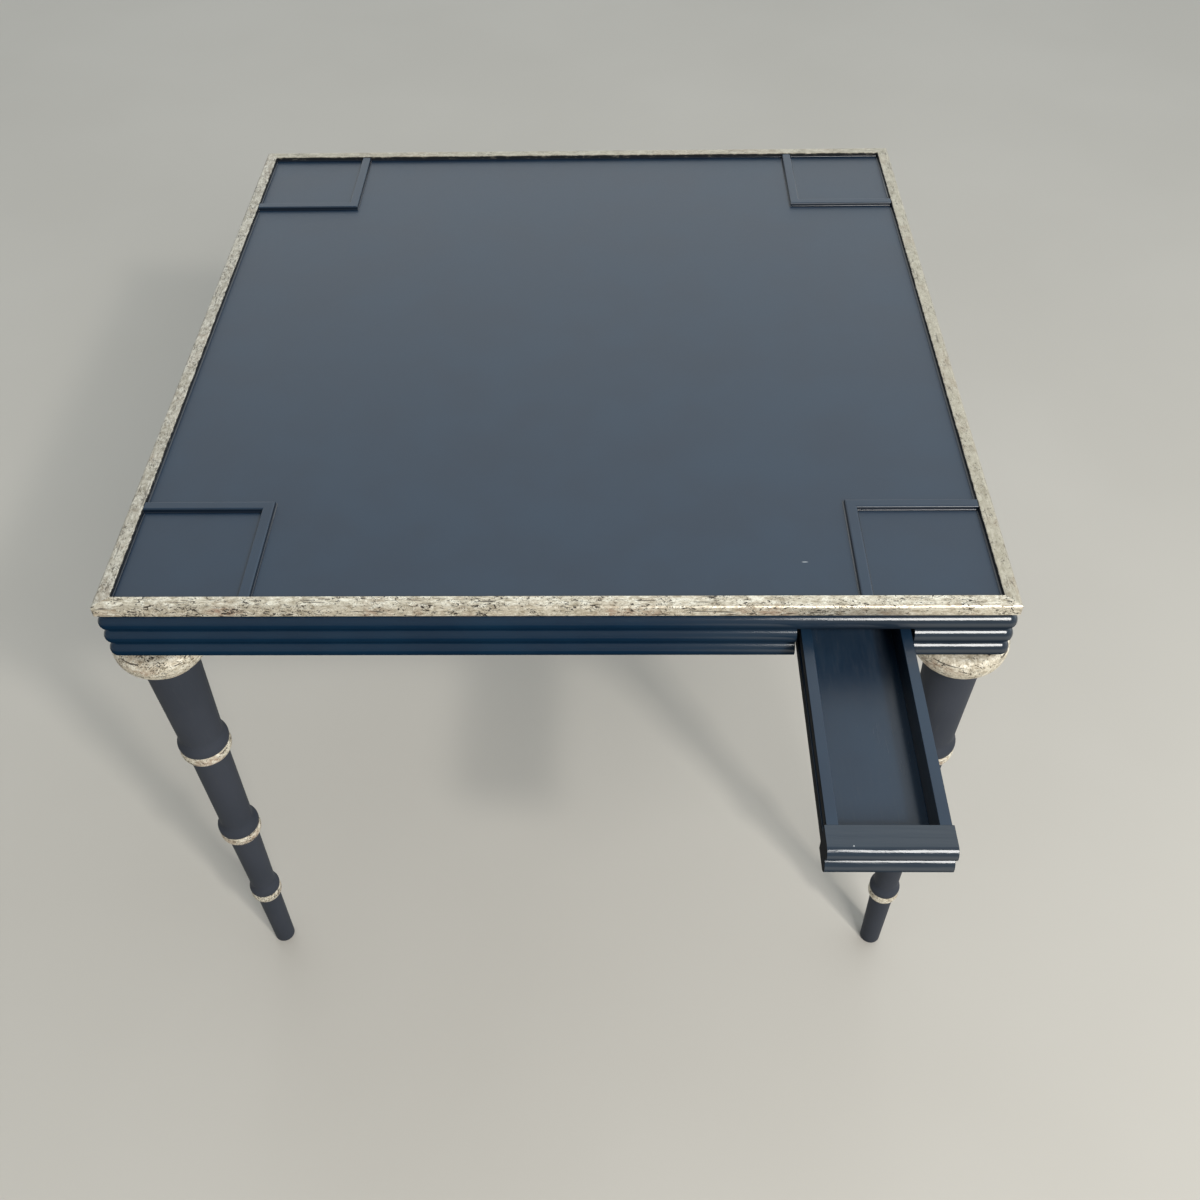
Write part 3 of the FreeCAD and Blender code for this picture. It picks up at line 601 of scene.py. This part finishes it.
def paint_fillet(name, corners, level):
    """Concave bead of paint round the inside of a plan outline, whose corners run anticlockwise."""
    section = [(-PAINT_SUNK, -PAINT_SUNK), (PAINT_RADIUS, -PAINT_SUNK)]
    for step in range(PAINT_STEPS + 1):
        turn = math.pi * (1.5 - 0.5 * step / PAINT_STEPS)
        out = PAINT_RADIUS + PAINT_RADIUS * math.cos(turn)
        rise = PAINT_RADIUS + PAINT_RADIUS * math.sin(turn)
        section.append((out, rise))
    section.append((-PAINT_SUNK, PAINT_RADIUS))
    count = len(corners)
    inward = []
    for index, corner in enumerate(corners):
        before = (Vector(corner) - Vector(corners[index - 1])).normalized()
        after = (Vector(corners[(index + 1) % count]) - Vector(corner)).normalized()
        inward.append(Vector((-before.y - after.y, before.x + after.x)))
    shape = bmesh.new()
    rings = []
    for out, rise in section:
        ring = []
        for corner, way in zip(corners, inward):
            x, y = Vector(corner) + way * out
            ring.append(shape.verts.new((x, y, level + rise)))
        rings.append(ring)
    for index, ring in enumerate(rings):
        following = rings[(index + 1) % len(rings)]
        for corner in range(count):
            beyond = (corner + 1) % count
            shape.faces.new((ring[corner], ring[beyond], following[beyond], following[corner]))
    add_piece(name, shape, beads, "table")


# The field's outline goes round the strips; each corner square lies between its strips and the rim.
panel_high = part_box("top_panel")[1]
strip_low, strip_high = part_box("corner_strip_front_left_along")
edge = panel_high.x
outer, inner = -strip_low.x, -strip_high.x
field_plan = [
    (-inner, -edge), (inner, -edge), (inner, -inner), (edge, -inner), (edge, inner), (inner, inner),
    (inner, edge), (-inner, edge), (-inner, inner), (-edge, inner), (-edge, -inner), (-inner, -inner),
]
paint_fillet("paint_round_field", field_plan, panel_high.z)
for corner in CORNERS:
    across = -1 if corner.endswith("left") else 1
    along = -1 if corner.startswith("front") else 1
    left, right = sorted((across * outer, across * edge))
    near, far = sorted((along * outer, along * edge))
    square = [(left, near), (right, near), (right, far), (left, far)]
    paint_fillet(f"paint_round_{corner}", square, panel_high.z)


def make_floor():
    """Plain pale round floor."""
    made, tree, shader = new_material("pale_floor")
    cloud = noise(tree, place(tree, EVEN), FLOOR_CLOUD)
    colour = blend(tree, fade(tree, cloud, NOISE_SPAN), *FLOOR_TONES)
    fill(tree, shader, {"Base Color": colour, "Roughness": FLOOR_ROUGHNESS})
    mesh = bpy.data.meshes.new("floor")
    shape = bmesh.new()
    bmesh.ops.create_circle(shape, cap_ends=True, radius=FLOOR_RADIUS, segments=FLOOR_SEGMENTS)
    shape.to_mesh(mesh)
    shape.free()
    floor = bpy.data.objects.new("floor", mesh)
    scene.collection.objects.link(floor)
    mesh.materials.append(made)


def make_world():
    """Pale studio surround, brighter behind and to the right of the table."""
    world = bpy.data.worlds.new("studio")
    scene.world = world
    world.use_nodes = True
    tree = world.node_tree
    tree.nodes.clear()
    direction = add(tree, "TexCoord").outputs["Generated"]
    lean = add(tree, "VectorMath", {0: direction, 1: SKY_LEAN}, operation="DOT_PRODUCT").outputs["Value"]
    level = fade(tree, lean, SKY_SPAN, SKY_LEVELS)
    background = add(tree, "Background", {"Color": SKY, "Strength": level})
    add(tree, "OutputWorld", {"Surface": background.outputs["Background"]})


def area_light(name, position, aim, size, power, colour):
    """A rectangular lamp that faces a point."""
    data = bpy.data.lights.new(name, "AREA")
    data.shape = "RECTANGLE"
    data.size, data.size_y = size
    data.energy = power
    data.color = colour
    lamp = bpy.data.objects.new(name, data)
    scene.collection.objects.link(lamp)
    lamp.location = position
    lamp.rotation_mode = "QUATERNION"
    lamp.rotation_quaternion = (Vector(aim) - Vector(position)).to_track_quat("-Z", "Y")


def make_camera():
    """Camera at the photograph's viewing angle."""
    data = bpy.data.cameras.new("camera")
    data.sensor_width = SENSOR_WIDTH
    data.lens = LENS
    camera = bpy.data.objects.new("camera", data)
    scene.collection.objects.link(camera)
    across = Vector((math.cos(CAMERA_YAW), math.sin(CAMERA_YAW), 0))
    ahead = Vector((-math.sin(CAMERA_YAW), math.cos(CAMERA_YAW), 0))
    upright = Vector((0, 0, 1))
    depth = math.cos(CAMERA_PITCH) * ahead - math.sin(CAMERA_PITCH) * upright
    level = math.sin(CAMERA_PITCH) * ahead + math.cos(CAMERA_PITCH) * upright
    right = math.cos(CAMERA_ROLL) * across + math.sin(CAMERA_ROLL) * level
    up = -math.sin(CAMERA_ROLL) * across + math.cos(CAMERA_ROLL) * level
    matrix = Matrix((right, up, -depth)).transposed().to_4x4()
    matrix.translation = CAMERA_PLACE
    camera.matrix_world = matrix
    scene.camera = camera


make_floor()
make_world()
area_light("key", position=(2.15, -3.0, 3.66), aim=(0.1, -0.2, 0.7), size=(0.32, 0.32), power=68,
           colour=(1, 0.965, 0.9))
area_light("softbox", position=(1.39, -2.96, 2.97), aim=(0.2, -0.3, 0.7), size=(1.1, 1.4), power=80,
           colour=(1, 0.98, 0.95))
make_camera()
scene.view_settings.view_transform = "Standard"
